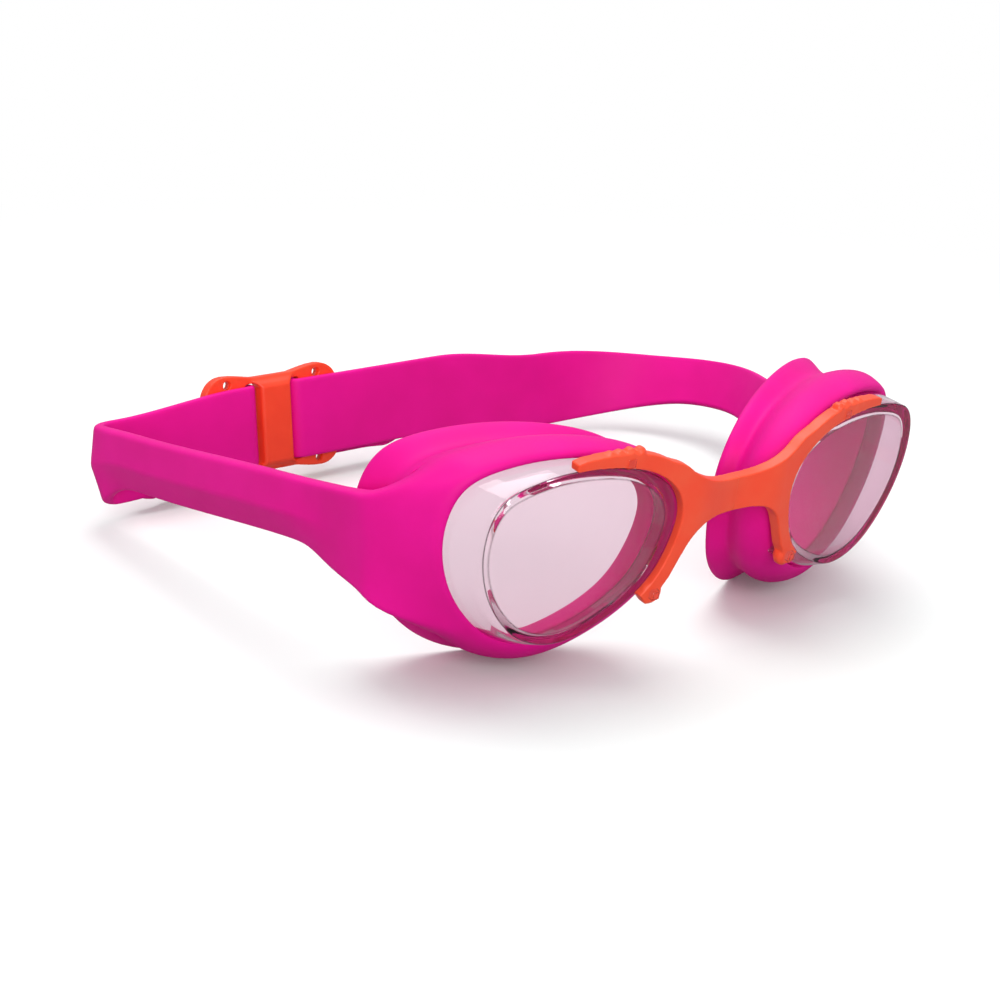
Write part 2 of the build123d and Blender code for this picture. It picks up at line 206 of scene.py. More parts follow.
def material(name):
    """An empty node material and its tree."""
    made = bpy.data.materials.new(name)
    made.use_nodes = True
    made.node_tree.nodes.clear()
    return made, made.node_tree


def finish_material(made, tree, shader):
    """Gives a material its output, and returns it."""
    output = add(tree, "ShaderNodeOutputMaterial")
    tree.links.new(shader.outputs[0], output.inputs["Surface"])
    return made


def silicone():
    """Liquid silicone rubber, moulded in a lightly blasted tool: deep magenta with a soft satin sheen."""
    made, tree = material("moulded_silicone_rubber")
    place = add(tree, "ShaderNodeTexCoord").outputs["Object"]
    # a clouding about 12 mm across, and a blasted grain drawn at 0.35 mm, coarser than the real one
    cloud = add(tree, "ShaderNodeTexNoise", {"Scale": 1 / (12 * MM), "Detail": 2.0}, Vector=place)
    grain = add(tree, "ShaderNodeTexNoise", {"Scale": 1 / (0.35 * MM), "Detail": 3.0}, Vector=place)
    colour = add(tree, "ShaderNodeValToRGB", Fac=cloud.outputs["Fac"])
    colour.color_ramp.elements[0].position = 0.3
    colour.color_ramp.elements[0].color = linear("#E60A8E")
    colour.color_ramp.elements[1].position = 0.7
    colour.color_ramp.elements[1].color = linear("#EE0C96")
    rough = add(tree, "ShaderNodeMapRange", {"To Min": 0.5, "To Max": 0.62},
                Value=grain.outputs["Fac"])
    bump = add(tree, "ShaderNodeBump", {"Strength": 0.05, "Distance": 0.05 * MM},
               Height=grain.outputs["Fac"])
    shader = add(
        tree, "ShaderNodeBsdfPrincipled",
        {"IOR": 1.41, "Specular IOR Level": 0.22, "Subsurface Weight": 0.1,
         "Subsurface Radius": (2.0, 0.6, 1.2), "Subsurface Scale": MM},
        Base_Color=colour.outputs["Color"], Roughness=rough.outputs["Result"],
        Normal=bump.outputs["Normal"],
    )
    return finish_material(made, tree, shader)


def orange_plastic(name, code, deep):
    """Injection-moulded plastic with a fine satin texture: bright, and softly lit without glints."""
    made, tree = material(name)
    place = add(tree, "ShaderNodeTexCoord").outputs["Object"]
    # flow clouding about 6 mm across, and a spark-eroded grain drawn at 0.25 mm
    cloud = add(tree, "ShaderNodeTexNoise", {"Scale": 1 / (6 * MM), "Detail": 2.0}, Vector=place)
    grain = add(tree, "ShaderNodeTexNoise", {"Scale": 1 / (0.25 * MM), "Detail": 2.0}, Vector=place)
    colour = add(tree, "ShaderNodeValToRGB", Fac=cloud.outputs["Fac"])
    colour.color_ramp.elements[0].position = 0.3
    colour.color_ramp.elements[0].color = linear(deep)
    colour.color_ramp.elements[1].position = 0.7
    colour.color_ramp.elements[1].color = linear(code)
    rough = add(tree, "ShaderNodeMapRange", {"To Min": 0.34, "To Max": 0.46},
                Value=grain.outputs["Fac"])
    bump = add(tree, "ShaderNodeBump", {"Strength": 0.06, "Distance": 0.04 * MM},
               Height=grain.outputs["Fac"])
    shader = add(
        tree, "ShaderNodeBsdfPrincipled",
        {"IOR": 1.5, "Subsurface Weight": 0.1, "Subsurface Radius": (1.5, 0.5, 0.2),
         "Subsurface Scale": MM},
        Base_Color=colour.outputs["Color"], Roughness=rough.outputs["Result"],
        Normal=bump.outputs["Normal"],
    )
    return finish_material(made, tree, shader)


def polycarbonate():
    """Clear polycarbonate, polished in the mould, with a faint pink dye: sharp glints, and painted dark
    shade lines at the window's corners.
    """
    made, tree = material("clear_polycarbonate")
    place = add(tree, "ShaderNodeTexCoord").outputs["Object"]
    # faint moulding waviness about 9 mm across
    wave = add(tree, "ShaderNodeTexNoise", {"Scale": 1 / (9 * MM), "Detail": 1.0}, Vector=place)
    rough = add(tree, "ShaderNodeMapRange", {"To Min": 0.0, "To Max": 0.02}, Value=wave.outputs["Fac"])
    shader = add(
        tree, "ShaderNodeBsdfPrincipled",
        {"Base Color": linear("#ECD3DF"), "IOR": 1.45, "Transmission Weight": 1.0},
        Roughness=rough.outputs["Result"],
    )
    # painted shade: thin dark lines painted on the thick corners round the window, standing in for the
    # darkness that refraction gives there
    line = add(tree, "ShaderNodeAttribute", {"attribute_name": "painted_corner_shade"})
    # dark shader that paints those shade lines, mixed in by the mask
    painted_shade_shader = add(tree, "ShaderNodeBsdfPrincipled",
               {"Base Color": linear("#4A2A38"), "IOR": 1.45, "Roughness": 0.2})
    share = add(tree, "ShaderNodeMapRange", {"From Min": 0.4, "From Max": 0.9, "To Max": 0.8},
                Value=line.outputs["Fac"])
    both = add(tree, "ShaderNodeMixShader",
               _0=share.outputs["Result"], _1=shader.outputs[0], _2=painted_shade_shader.outputs[0])
    return finish_material(made, tree, both)


# ---------------------------------------------------------------- mesh helpers
def between(a, b, share):
    """The value a share of the way from a to b."""
    return a + (b - a) * share


def ease(share):
    """A share that starts and ends gently, held between 0 and 1."""
    share = min(1.0, max(0.0, share))
    return share * share * (3 - 2 * share)


def steps(table, place):
    """Value at a place along a short list of (place, value), eased from one to the next."""
    for (start, low), (end, high) in zip(table, table[1:]):
        if place <= end:
            return between(low, high, ease((place - start) / (end - start)))
    return table[-1][1]


def through(a, b, c, d, f):
    """Point a share f of the way from b to c on the smooth curve through four points."""
    return 0.5 * (2 * b + (c - a) * f + (2 * a - 5 * b + 4 * c - d) * f ** 2
                  + (3 * b - a - 3 * c + d) * f ** 3)


def outline(share):
    """The window's shape at a share of the way round, from the nose, as a smooth closed curve."""
    count = len(OUTLINE)
    place = share % 1 * count
    first = int(place)
    return through(*(Vector(OUTLINE[(first + k) % count]) for k in (-1, 0, 1, 2)), place - first)


def on_ring(share, depth, turn, reach):
    """Point of a cup's ring that reaches the given distances, its temple side turned further back."""
    x, z = outline(share)
    temple, nose, above, below = reach
    x *= between(nose, temple, 0.5 + 0.5 * math.sin(x * math.pi / 2))
    z *= between(below, above, 0.5 + 0.5 * math.sin(z * math.pi / 2))
    turned = math.radians(turn)
    return Vector((x * math.cos(turned), depth + x * math.sin(turned), z - DROOP * depth))


def grown(reach, by, share=1.0):
    """A reach in four directions, grown by a length or by a share of another reach."""
    if isinstance(by, tuple):
        return tuple(r + share * g for r, g in zip(reach, by))
    return tuple(r + by for r in reach)


def sheet(bm, across, along, place):
    """A grid of faces bent to place(share across, share along); returns its vertices and shares."""
    made = bmesh.ops.create_grid(bm, x_segments=across, y_segments=along, size=0.5)["verts"]
    shares = [(vert.co.x + 0.5, vert.co.y + 0.5) for vert in made]
    for vert, (u, v) in zip(made, shares):
        vert.co = place(u, v)
    return made, shares


def close_up(bm, crease=0.0):
    """Joins a sheet's seam and caps its open ends, whose rims a crease keeps square under subdivision."""
    bmesh.ops.remove_doubles(bm, verts=bm.verts, dist=0.002)
    creases = bm.edges.layers.float.new("crease_edge")
    for edge in bm.edges:
        edge[creases] = crease if len(edge.link_faces) == 1 else 0.0
    bmesh.ops.holes_fill(bm, edges=bm.edges, sides=0)
    bmesh.ops.recalc_face_normals(bm, faces=bm.faces)


def put(bm, place):
    """Moves a mesh, and turns its faces round again if the move mirrors it."""
    bm.transform(place)
    if place.determinant() < 0:
        bmesh.ops.reverse_faces(bm, faces=bm.faces)
    bm.normal_update()


def to_object(bm, name, finish, place, sharp=38):
    """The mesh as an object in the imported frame, smooth except where faces meet sharply."""
    bmesh.ops.recalc_face_normals(bm, faces=bm.faces)
    put(bm, place)
    for face in bm.faces:
        face.smooth = True
    creases = bm.edges.layers.float.get("crease_edge")
    for edge in bm.edges:
        edge.smooth = len(edge.link_faces) != 2 or edge.calc_face_angle() < math.radians(sharp)
        if creases and edge[creases] > 0.5:
            edge.smooth = False
    mesh = bpy.data.meshes.new(name)
    bm.to_mesh(mesh)
    bm.free()
    mesh.materials.append(finish)
    made = bpy.data.objects.new(name, mesh)
    bpy.context.scene.collection.objects.link(made)
    return made


def modify(made, kind, **settings):
    """Adds a modifier and applies it at once."""
    modifier = made.modifiers.new(kind.lower(), kind)
    for key, value in settings.items():
        setattr(modifier, key, value)
    graph = bpy.context.evaluated_depsgraph_get()
    mesh = bpy.data.meshes.new_from_object(made.evaluated_get(graph))
    made.modifiers.clear()
    old = made.data
    made.data = mesh
    bpy.data.meshes.remove(old)
    return made


# ---------------------------------------------------------------- lens
def lens_reach(share, by=0.0):
    """The lens wall's reach a share of the way back, grown by a length."""
    return grown(grown(WINDOW, FLARE, share), by)


def make_lens(name, side):
    """Window, flared side wall and back edge of one lens, in one closed skin."""
    bm = bmesh.new()
    # the window's rounded edge: depth, turn, share of the flare, and how far in from the edge
    outside = [
        (0.02, 0.0, 0.0, -1.0), (0.0, 0.0, 0.0, -0.35), (0.12, 0.0, 0.01, -0.08), (0.35, 0.0, 0.04, 0.0),
    ]
    rings = [(on, turn, lens_reach(share, by)) for on, turn, share, by in outside]
    for share in (0.35, 0.7, 1.0):
        rings.append((LENS_DEPTH * share, LENS_TURN * share, lens_reach(share)))
    rings.append((LENS_DEPTH + 0.15, LENS_TURN, lens_reach(1.0, -LENS_WALL)))
    for share in (0.7, 0.35):
        rings.append((LENS_DEPTH * share, LENS_TURN * share, lens_reach(share, -LENS_WALL)))
    rings.append((LENS_WALL + 0.5, 0.0, lens_reach(0.15, -LENS_WALL - 0.1)))
    rings.append((LENS_WALL, 0.0, lens_reach(0.1, -LENS_WALL - 0.5)))
    rings.append((LENS_WALL - 0.02, 0.0, lens_reach(0.1, -LENS_WALL - 1.2)))
    count = len(rings) - 1

    # mask of painted shade on the window's corners, read by the lens material
    painted_corner_shade = bm.verts.layers.float.new("painted_corner_shade")
    made, shares = sheet(bm, 128, count, lambda u, v: on_ring(u, *rings[round(v * count)]))
    for vert, (u, v) in zip(made, shares):
        # strength of the painted dark shade line: full on the outer corner, fainter on the inner one
        vert[painted_corner_shade] = {2: 1.0, count - 1: 0.7}.get(round(v * count), 0.0)
    close_up(bm)
    return to_object(bm, name, CLEAR, where(side), sharp=25)


def where(side):
    """From a cup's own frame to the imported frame, on the wearer's left or, mirrored, on the right."""
    return stand @ (cup if side > 0 else MIRROR @ cup)


# ---------------------------------------------------------------- silicone mouldings
def plan(side, s):
    """Centre and direction of a strap's level path, a distance s past its start beside the temple."""
    corner_out, radius = CORNERS[side]
    start, corner = STRAP_START.copy(), Vector((corner_out, BACK_RUN, 0))
    if s < 0:
        lean = Vector((0.12, 1, 0)).normalized()
        return start + lean * s, lean
    first = (corner - start).normalized()
    second = Vector((-1, 0, 0))
    turn = first.angle(second)
    cut = radius * math.tan(turn / 2)
    run = (corner - start).length - cut
    if s < run:
        return start + first * s, first
    s -= run
    if s < radius * turn:
        middle = corner - first * cut + Vector((-first.y, first.x, 0)) * radius
        angle = s / radius
        direction = Matrix.Rotation(angle, 3, "Z") @ first
        return middle - Vector((-direction.y, direction.x, 0)) * radius, direction
    return corner + second * (cut + s - radius * turn), second


def corner_span(side):
    """How far along the strap its corner starts and ends."""
    corner_out, radius = CORNERS[side]
    first = Vector((corner_out, BACK_RUN, 0)) - STRAP_START
    turn = first.angle(Vector((-1, 0, 0)))
    start = first.length - radius * math.tan(turn / 2)
    return start, start + radius * turn


def lift_at(side, s):
    """How far the strap stands above its level height, a distance s along it."""
    end = corner_span(side)[1]
    return steps(LIFTS[side] + [(end, CORNER_LIFT[side]), (end + LIFT_RUN, BACK_LIFT)], s)


def run_end(side):
    """How far along the strap its back run reaches the buckle's end plate."""
    end = corner_span(side)[1]
    return end + plan(side, end)[0].x - side * BUCKLE_MIDDLE - LOBE_EDGE


def strap_section(side, s, h, w):
    """Point of the strap's skin: h runs from its lower to its upper edge, w from outside to inside."""
    start, end = corner_span(side)
    widen = start - 8 if side < 0 else between(start, end, 0.35)
    tall = SIDE_HEIGHT if side < 0 else between(SIDE_HEIGHT, FAR_HEIGHT, ease(s / 50))
    height = steps([(-9, 22), (-3, 18), (4, 15.5), (16, tall), (widen, tall), (end, BACK_HEIGHT)], s)
    thickness = steps(
        [(-9, 5.2), (0, 3.4), (16, SIDE_THICKNESS), (start, SIDE_THICKNESS), (end, BACK_THICKNESS)], s)
    lean = steps([(0, 0), (25, SIDE_LEAN[side]), (widen, SIDE_LEAN[side]), (end, 0)], s)
    ridge = steps([(4, 0), (20, 2.2), (start, 1.9), (end, 0)], s)
    centre, along = plan(side, s)
    out = Vector((along.y, -along.x, 0))
    tipped = Matrix.Rotation(lean, 3, along)
    up, out = tipped @ Vector((0, 0, 1)), tipped @ out
    bulge = EDGE_BULGE * thickness if 0 < w < 1 and h in (0, 1) else 0
    rise = (h - 0.5) * (height + bulge)
    if w == 0:
        thickness += 2 * ridge * max(0.0, 1 - abs(h - RIDGE_AT) / 0.5)
    middle = STRAP_TOP - height / 2 + lift_at(side, s)
    point = centre + Vector((0, 0, middle)) + up * rise + out * (0.5 - w) * thickness
    return Vector((side * point.x, point.y, point.z))


def make_moulding(name, side):
    """Surround, seal, temple arm, side run and corner of one silicone moulding, in one skin."""
    bm = bmesh.new()
    round_step = bm.verts.layers.int.new("round_step")
    ring_step = bm.verts.layers.int.new("ring_step")
    base = lens_reach(1.0)
    rings = [(depth, turn, tuple(b + g for b, g in zip(base, grow))) for depth, turn, grow in SECTION]
    count = len(rings)
    made, shares = sheet(bm, AROUND, count, lambda u, v: on_ring(u, *rings[round(v * count) % count]))
    for vert, (u, v) in zip(made, shares):
        vert[round_step] = round(u * AROUND)
        vert[ring_step] = round(v * count) + 1

    def in_patch(vert):
        return ARM_FROM <= vert[round_step] <= ARM_TO and ARM_FRONT < vert[ring_step] <= ARM_BACK + 1

    patch = [face for face in bm.faces if all(in_patch(v) for v in face.verts)]
    put(bm, cup if side > 0 else MIRROR @ cup)
    bmesh.ops.delete(bm, geom=patch, context="FACES")
    edge = [e for e in bm.edges if len(e.link_faces) == 1 and all(in_patch(v) for v in e.verts)]
    start, end = corner_span(side)
    seam = end + SEAM_PAST_CORNER
    stops = [-7, -3, 1, 6, 12] + [between(16, start - 3, k / 12) for k in range(13)]
    stops += [between(start, end, k / 10) for k in range(11)] + [between(end, seam, 0.5), seam]
    for stop in stops:
        made = bmesh.ops.extrude_edge_only(bm, edges=edge)["geom"]
        edge = [e for e in made if isinstance(e, bmesh.types.BMEdge) and len(e.link_faces) == 1]
        for vert in (v for v in made if isinstance(v, bmesh.types.BMVert)):
            h = (vert[round_step] - ARM_FROM) / (ARM_TO - ARM_FROM)
            w = (vert[ring_step] - 1 - ARM_FRONT) / (ARM_BACK - ARM_FRONT)
            vert.co = strap_section(side, stop, h, w)
    close_up(bm, 1.0)
    made = to_object(bm, name, SILICONE, stand, sharp=180)
    return modify(made, "SUBSURF", levels=2, render_levels=2)


def ribbon(name, stops, place):
    """A length of strap whose skin place(stop, h, w) gives."""
    bm = bmesh.new()
    tall, deep = ARM_TO - ARM_FROM, ARM_BACK - ARM_FRONT
    rim = [(h / tall, 0.0) for h in range(tall + 1)] + [(1.0, w / deep) for w in range(1, deep)]
    rim += [(h / tall, 1.0) for h in range(tall, -1, -1)] + [(0.0, w / deep) for w in range(deep - 1, 0, -1)]
    count = len(stops) - 1
    around = len(rim)
    sheet(bm, around, count,
          lambda u, v: place(stops[round(v * count)], *rim[round(u * around) % around]))
    close_up(bm, 1.0)
    made = to_object(bm, name, SILICONE, stand, sharp=180)
    return modify(made, "SUBSURF", levels=2, render_levels=2)


def fold_point(side, s, h, w):
    """Skin of the strap from its U-turn through the buckle's slot to its free end; s starts at the turn."""
    radius = PLATE_BACK - BACK_RUN
    lobe = BUCKLE_MIDDLE + side * LOBE_EDGE
    turn = min(math.pi, s / radius)
    past = max(0.0, s - math.pi * radius)
    out = Vector((-side * math.sin(turn), -math.cos(turn), 0))
    closer = TAIL_CLOSE * ease((past - 20) / 6)
    lower = TAIL_DROP * ease((past - 1) / 9)
    centre = Vector((lobe + side * past, PLATE_BACK - closer, -lower)) + out * radius
    height = BACK_HEIGHT
    left = math.pi * radius + TAIL_LENGTH - s
    if left < TAIL_ROUND:
        height -= 2 * (TAIL_ROUND - math.sqrt(max(0.0, TAIL_ROUND ** 2 - (TAIL_ROUND - left) ** 2)))
    bulge = EDGE_BULGE * BACK_THICKNESS if 0 < w < 1 and h in (0, 1) else 0
    rise = (h - 0.5) * (height + bulge)
    middle = STRAP_TOP - BACK_HEIGHT / 2 + lift_at(side, run_end(side) - past)
    return centre + Vector((0, 0, middle + rise)) + out * (w - 0.5) * BACK_THICKNESS


def make_back(name, side):
    """The back run of one strap from its corner to the end of its U-turn round the buckle's end."""
    first = corner_span(side)[1] + SEAM_PAST_CORNER
    last = run_end(side)
    radius = PLATE_BACK - BACK_RUN
    straight = [between(first, last, k / 24) for k in range(25)]
    turns = [last + math.pi * radius * k / 10 for k in range(1, 11)]

    def place(s, h, w):
        if s <= last:
            return strap_section(side, s, h, w)
        return fold_point(side, s - last, h, w)

    return ribbon(name, straight + turns, place)


def make_tail(name, side):
    """The free end of one strap, outside the buckle's end, from the U-turn to its rounded tip."""
    turned = math.pi * (PLATE_BACK - BACK_RUN)
    stops = [turned + TAIL_LENGTH * k / 20 for k in range(18)]
    stops += [turned + TAIL_LENGTH - TAIL_ROUND * (1 - math.sin(k * math.pi / 16)) for k in range(4, 9)]
    return ribbon(name, stops, lambda s, h, w: fold_point(side, s, h, w))


# ---------------------------------------------------------------- flat mouldings
def plate(name, outlines, thickness, finish):
    """A flat form standing across Y: the first outline is its edge, the others are its holes."""
    bm = bmesh.new()
    for points in outlines:
        verts = [bm.verts.new((x, -thickness / 2, z)) for x, z in points]
        for first, second in zip(verts, verts[1:] + verts[:1]):
            bm.edges.new((first, second))
    bmesh.ops.remove_doubles(bm, verts=bm.verts, dist=0.01)
    bmesh.ops.triangle_fill(bm, use_beauty=True, use_dissolve=False, edges=bm.edges, normal=(0, -1, 0))
    made = bmesh.ops.extrude_face_region(bm, geom=bm.faces[:])["geom"]
    for vert in made:
        if isinstance(vert, bmesh.types.BMVert):
            vert.co.y += thickness
    return to_object(bm, name, finish, Matrix())


def arc(x, z, radius, start, end, count=10):
    """Points along an arc round (x, z), between two angles in degrees."""
    angles = [math.radians(between(start, end, k / count)) for k in range(count + 1)]
    return [(x + radius * math.cos(a), z + radius * math.sin(a)) for a in angles]


def slot_hole(x, z, width, height, corner):
    """Outline of a slot with rounded corners."""
    half_w, half_h = width / 2 - corner, height / 2 - corner
    made = []
    for k, (sx, sz) in enumerate(QUARTERS):
        made += arc(x + sx * half_w, z + sz * half_h, corner, 90 * k, 90 * k + 90, 5)
    return made


def make_buckle():
    """Waisted plate with two slots, four holes and a middle bar that stands proud towards the head."""
    corner_x, corner_z = BUCKLE_HALF_WIDTH - BUCKLE_CORNER, BUCKLE_HALF_HEIGHT - BUCKLE_CORNER
    quarter = arc(corner_x, corner_z, BUCKLE_CORNER, 0, 90)
    for k in range(1, 9):
        quarter.append((between(corner_x, 0, k / 8), BUCKLE_HALF_HEIGHT - BUCKLE_WAIST * ease(k / 8)))
    edge = []
    for sx, sz in QUARTERS:
        run = [(sx * x, sz * z) for x, z in quarter]
        edge += run if sx * sz > 0 else run[-2::-1]
    slots = [slot_hole(side * SLOT_ACROSS, 0, SLOT_WIDTH, SLOT_HEIGHT, SLOT_CORNER) for side in (-1, 1)]
    body = plate("buckle_plate", [edge] + slots, BUCKLE_THICKNESS, BUCKLE_ORANGE)
    bar = bmesh.new()
    # the bar's section, with its front edges cut off: share of its half width, and of its depth
    rim = [(-0.86, 0), (-1, 0.16), (-1, 1), (1, 1), (1, 0.16), (0.86, 0)]

    def bar_point(u, v):
        across, deep = rim[round(u * len(rim)) % len(rim)]
        z = between(-BAR_HALF_HEIGHT, BAR_HALF_HEIGHT, v)
        out = ease((abs(z) - BAR_ROOT) / BAR_SPREAD)
        front = between(*BAR_FRONT, out)
        return Vector((across * between(*BAR_HALF_WIDTH, out), between(front, BAR_BACK, deep), z))

    sheet(bar, len(rim), 28, bar_point)
    close_up(bar)
    bar_piece = to_object(bar, "buckle_bar", BUCKLE_ORANGE, Matrix())
    made = fused("buckle_plate_and_bar", [body, bar_piece], 12, BUCKLE_ORANGE)
    drills = bmesh.new()
    for sx, sz in QUARTERS:
        hole = Matrix.Translation((sx * HOLE_ACROSS, 0, sz * HOLE_UP)) @ Matrix.Rotation(math.pi / 2, 4, "X")
        bmesh.ops.create_cone(drills, cap_ends=True, segments=40, radius1=HOLE_RADIUS, radius2=HOLE_RADIUS,
                              depth=6, matrix=hole)
    drill = to_object(drills, "drill", BUCKLE_ORANGE, Matrix())
    modify(made, "BOOLEAN", operation="DIFFERENCE", object=drill, solver="EXACT")
    drop(drill)
    middle = Matrix.Translation((BUCKLE_MIDDLE, PLATE_BACK, STRAP_TOP - BACK_HEIGHT / 2 + BACK_LIFT))
    made.data.transform(stand @ middle)
    return made


def drop(piece):
    """Removes a working piece and its mesh."""
    mesh = piece.data
    bpy.data.objects.remove(piece)
    bpy.data.meshes.remove(mesh)


def fused(name, pieces, passes, finish):
    """Overlapping closed forms as one skin with softened inner corners."""
    bm = bmesh.new()
    for piece in pieces:
        bm.from_mesh(piece.data)
        drop(piece)
    made = to_object(bm, name, finish, Matrix())
    modify(made, "REMESH", mode="VOXEL", voxel_size=FUSED_GRAIN, use_smooth_shade=True)
    modify(made, "SMOOTH", factor=0.5, iterations=passes)
    made.data.materials.clear()
    made.data.materials.append(finish)
    return made


def make_bridge(name, side):
    """One half of the bridge: half the saddle, a band round the window, the knuckle and the knob."""
    inner = grown(WINDOW, BRIDGE_GAP)
    fine = []
    for (u, width), (next_u, next_width) in zip(BAND, BAND[1:]):
        fine += [(between(u, next_u, k / 6), between(width, next_width, k / 6)) for k in range(6)]
    fine.append(BAND[-1])

    def flat(share, out):
        """Point in the window's plane, a distance out from the band's inner edge."""
        point = on_ring(share, 0, 0, inner)
        ahead = on_ring(share + 0.004, 0, 0, inner) - on_ring(share - 0.004, 0, 0, inner)
        normal = Vector((-ahead.z, 0, ahead.x)).normalized()
        if normal.dot(point) < 0:
            normal.negate()
        point = point + normal * out
        return point.x, point.z

    inside = [flat(u, 0) for u, w in fine]
    lower = [flat(u, w) for u, w in reversed(fine) if u > BAND_BELOW]
    upper = [flat(u, w) for u, w in reversed(fine) if u < BAND_ABOVE]
    under = smooth([lower[-1]] + UNDER_SADDLE)
    over = smooth(OVER_SADDLE + [upper[0]])
    edge = inside + lower + under[1:] + over[:-1] + upper
    pieces = [plate("band", [edge], BRIDGE_THICKNESS, BRIDGE_ORANGE)]
    for offset, radius in BUMPS:
        pieces.append(drum("bump", LUG_ACROSS + offset, BUMP_HEIGHT, radius))
    pieces.append(drum("knob", *PEG, KNOB_RADIUS))
    made = fused(name, pieces, 10, BRIDGE_ORANGE)
    bm = bmesh.new()
    bm.from_mesh(made.data)
    bm.transform(cup)
    # the saddle comes back to meet the other half squarely at the middle plane
    for vert in bm.verts:
        across = vert.co.x
        vert.co.y += SADDLE_BACK * (1 - ease(across / SADDLE_BEND))
        vert.co.y += math.sin(WRAP) * (math.hypot(across, 4) - across)
    bmesh.ops.bisect_plane(bm, geom=bm.verts[:] + bm.edges[:] + bm.faces[:], plane_co=(0, 0, 0),
                           plane_no=(1, 0, 0), clear_inner=True)
    bmesh.ops.holes_fill(bm, edges=bm.edges, sides=0)
    bmesh.ops.recalc_face_normals(bm, faces=bm.faces)
    put(bm, stand if side > 0 else stand @ MIRROR)
    bm.to_mesh(made.data)
    bm.free()
    return made


def smooth(points, count=6):
    """A smooth run of points through the given ones."""
    ends = [Vector(points[0]) * 2 - Vector(points[1])] + [Vector(p) for p in points]
    ends.append(ends[-1] * 2 - ends[-2])
    made = []
    for a, b, c, d in zip(ends, ends[1:], ends[2:], ends[3:]):
        for k in range(count):
            point = through(a, b, c, d, k / count)
            made.append((point.x, point.y))
    return made + [tuple(points[-1])]


def drum(name, x, z, radius):
    """A short round boss with softened ends, standing across Y."""
    bm = bmesh.new()
    bmesh.ops.create_cone(bm, cap_ends=True, segments=40, radius1=radius, radius2=radius,
                          depth=DRUM_LENGTH)
    ends = [e for e in bm.edges if e.calc_face_angle() > 1]
    bmesh.ops.bevel(bm, geom=ends, offset=0.5, segments=3, affect="EDGES")
    place = Matrix.Translation((x, 0, z)) @ Matrix.Rotation(math.pi / 2, 4, "X")
    return to_object(bm, name, BRIDGE_ORANGE, place)


def make_clip(name, side, x, z, width, height, front, back):
    """A clear block on the lens that the bridge snaps over."""
    bm = bmesh.new()
    bmesh.ops.create_cube(bm, size=1)
    size = Matrix.Diagonal((width, front + back, height, 1))
    bm.transform(Matrix.Translation((x, (back - front) / 2, z)) @ size)
    bmesh.ops.bevel(bm, geom=bm.edges, offset=0.35, segments=3, affect="EDGES")
    return to_object(bm, name, CLEAR, where(side))


# ---------------------------------------------------------------- assembly
SILICONE = silicone()
CLEAR = polycarbonate()
BRIDGE_ORANGE = orange_plastic("satin_orange_elastomer", "#FF5632", "#FF4C29")
BUCKLE_ORANGE = orange_plastic("satin_orange_polyamide", "#FF4622", "#FA401D")


for word, side in SIDES.items():
    body = f"{word}_cup"
    lens = make_lens(f"{word}_lens_shell", side)
    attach(lens, body)
    lug = make_clip(f"{word}_lens_lug", side, LUG_ACROSS, (LUG_BOTTOM + LUG_TOP) / 2,
                    LUG_WIDTH, LUG_TOP - LUG_BOTTOM, LUG_PROUD, LUG_DEEP)
    peg = make_clip(f"{word}_lens_peg", side, *PEG, PEG_WIDTH, PEG_WIDTH, PEG_PROUD, PEG_DEEP)
    for piece in (lug, peg):
        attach(piece, body)
    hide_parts(f"{word}_lens")
    moulding = make_moulding(f"{word}_silicone_moulding", side)
    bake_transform(moulding)
    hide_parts(f"{word}_skirt", f"{word}_strap_side", f"{word}_strap_corner")
    run = make_back(f"{word}_strap_run", side)
    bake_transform(run)
    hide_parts(f"{word}_strap_back", f"{word}_strap_fold")
    tail = make_tail(f"{word}_strap_tail", side)
    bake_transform(tail)
    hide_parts(f"{word}_tail_run", f"{word}_tail_end")
    half = make_bridge(f"{word}_bridge_half", side)
    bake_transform(half)
    if side > 0:
        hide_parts("nose_bridge")

buckle = make_buckle()
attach(buckle, "buckle")
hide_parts("buckle")

# ---------------------------------------------------------------- studio
floor_material, tree = material("pale_studio_floor")
# seen directly or through a lens the floor is white; what it throws back on the goggles is grey
light_path = add(tree, "ShaderNodeLightPath")
lens_view = add(tree, "ShaderNodeMath", {"operation": "MULTIPLY", 1: 0.85},
                _0=light_path.outputs["Is Transmission Ray"])
path = add(tree, "ShaderNodeMath", {"operation": "MAXIMUM"}, _0=light_path.outputs["Is Camera Ray"],
           _1=lens_view.outputs[0]).outputs[0]
# the seen colour has a faint green painted in, which takes the pink of the goggles' bounce light out of the
# floor's shadows
tone = add(tree, "ShaderNodeMix",
           {"data_type": "RGBA", 6: linear("#A8A6A7"), 7: (0.95, 1.0, 0.97, 1.0)}, _0=path)
lit = add(tree, "ShaderNodeBsdfDiffuse", Color=tone.outputs[2])
# away from the goggles the floor runs into the white of the background
reach = add(tree, "ShaderNodeVectorMath", {"operation": "LENGTH"})
tree.links.new(add(tree, "ShaderNodeTexCoord").outputs["Object"], reach.inputs[0])
away = add(tree, "ShaderNodeMapRange",
           {"interpolation_type": "SMOOTHSTEP", "From Min": 0.16, "From Max": 0.4},
           Value=reach.outputs["Value"])
seen = add(tree, "ShaderNodeMath", {"operation": "MULTIPLY"}, _0=path, _1=away.outputs["Result"])
blank = add(tree, "ShaderNodeEmission")
floor_shader = add(tree, "ShaderNodeMixShader", _0=seen.outputs[0], _1=lit.outputs[0], _2=blank.outputs[0])
finish_material(floor_material, tree, floor_shader)
bm = bmesh.new()
bmesh.ops.create_grid(bm, x_segments=1, y_segments=1, size=6)
floor = to_object(bm, "studio_floor", floor_material, Matrix.Translation((0, 0, -0.0003)))

world = bpy.data.worlds.new("studio")
bpy.context.scene.world = world
world.use_nodes = True
tree = world.node_tree
tree.nodes.clear()
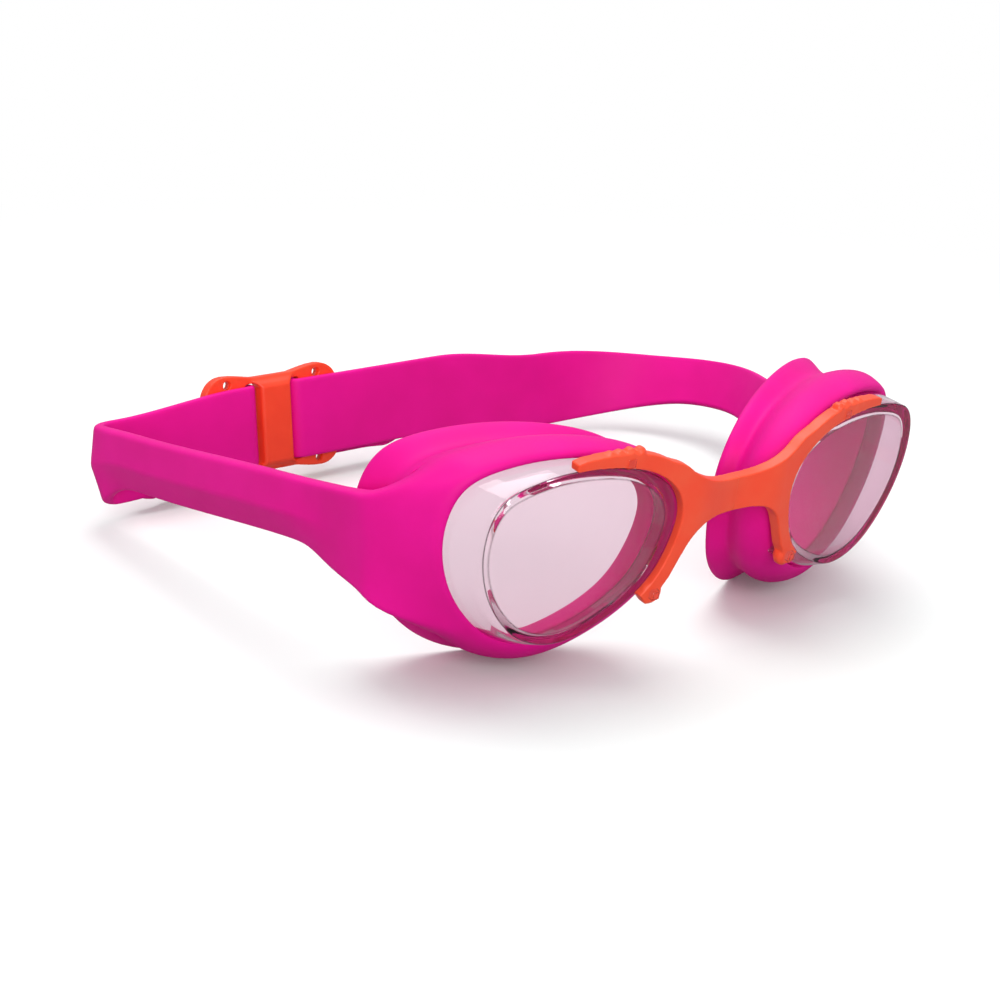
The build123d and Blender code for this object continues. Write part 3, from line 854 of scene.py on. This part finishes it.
# a soft dome for the goggles, and plain white where it is seen
path = add(tree, "ShaderNodeLightPath")
seen = add(tree, "ShaderNodeMath", {"operation": "MAXIMUM"}, _0=path.outputs["Is Camera Ray"],
           _1=path.outputs["Is Transmission Ray"])
height = add(tree, "ShaderNodeSeparateXYZ", _0=add(tree, "ShaderNodeTexCoord").outputs["Generated"])
dome = add(tree, "ShaderNodeMapRange", {"From Min": -0.1, "From Max": 0.9, "To Min": 0.5, "To Max": 0.68},
           Value=height.outputs["Z"])
soft = add(tree, "ShaderNodeBackground", {"Color": linear("#F4F4F8")}, Strength=dome.outputs["Result"])
white = add(tree, "ShaderNodeBackground", {"Color": (1.0, 1.0, 1.0, 1.0)})
both = add(tree, "ShaderNodeMixShader", _0=seen.outputs[0], _1=soft.outputs[0], _2=white.outputs[0])
tree.links.new(both.outputs[0], add(tree, "ShaderNodeOutputWorld").inputs[0])

for name, size, watts, place in (
    ("overhead_softbox", 0.8, 6.0, (0.05, 0.2, 1.0)),
    ("front_softbox", 0.7, 8.5, (-0.7, -1.0, 0.5)),
):
    light = bpy.data.lights.new(name, "AREA")
    light.size = size
    light.energy = watts
    lamp = bpy.data.objects.new(name, light)
    lamp.location = place
    lamp.rotation_euler = (Vector((0, 0, 0.02)) - Vector(place)).to_track_quat("-Z", "Y").to_euler()
    bpy.context.scene.collection.objects.link(lamp)

CAMERA_PLACE = (-0.28588, -0.30402, 0.15026)
CAMERA_FORWARD = (0.62711, 0.70902, -0.32253)
CAMERA_UP = (0.17391, 0.27617, 0.94524)

lens_data = bpy.data.cameras.new("camera")
lens_data.lens = 72
lens_data.sensor_width = 36
camera = bpy.data.objects.new("camera", lens_data)
forward = Vector(CAMERA_FORWARD).normalized()
right = forward.cross(Vector(CAMERA_UP)).normalized()
up = right.cross(forward)
turn = Matrix((right, up, -forward)).transposed().to_4x4()
camera.matrix_world = Matrix.Translation(CAMERA_PLACE) @ turn
bpy.context.scene.collection.objects.link(camera)
bpy.context.scene.camera = camera
bpy.context.scene.view_settings.view_transform = "Standard"
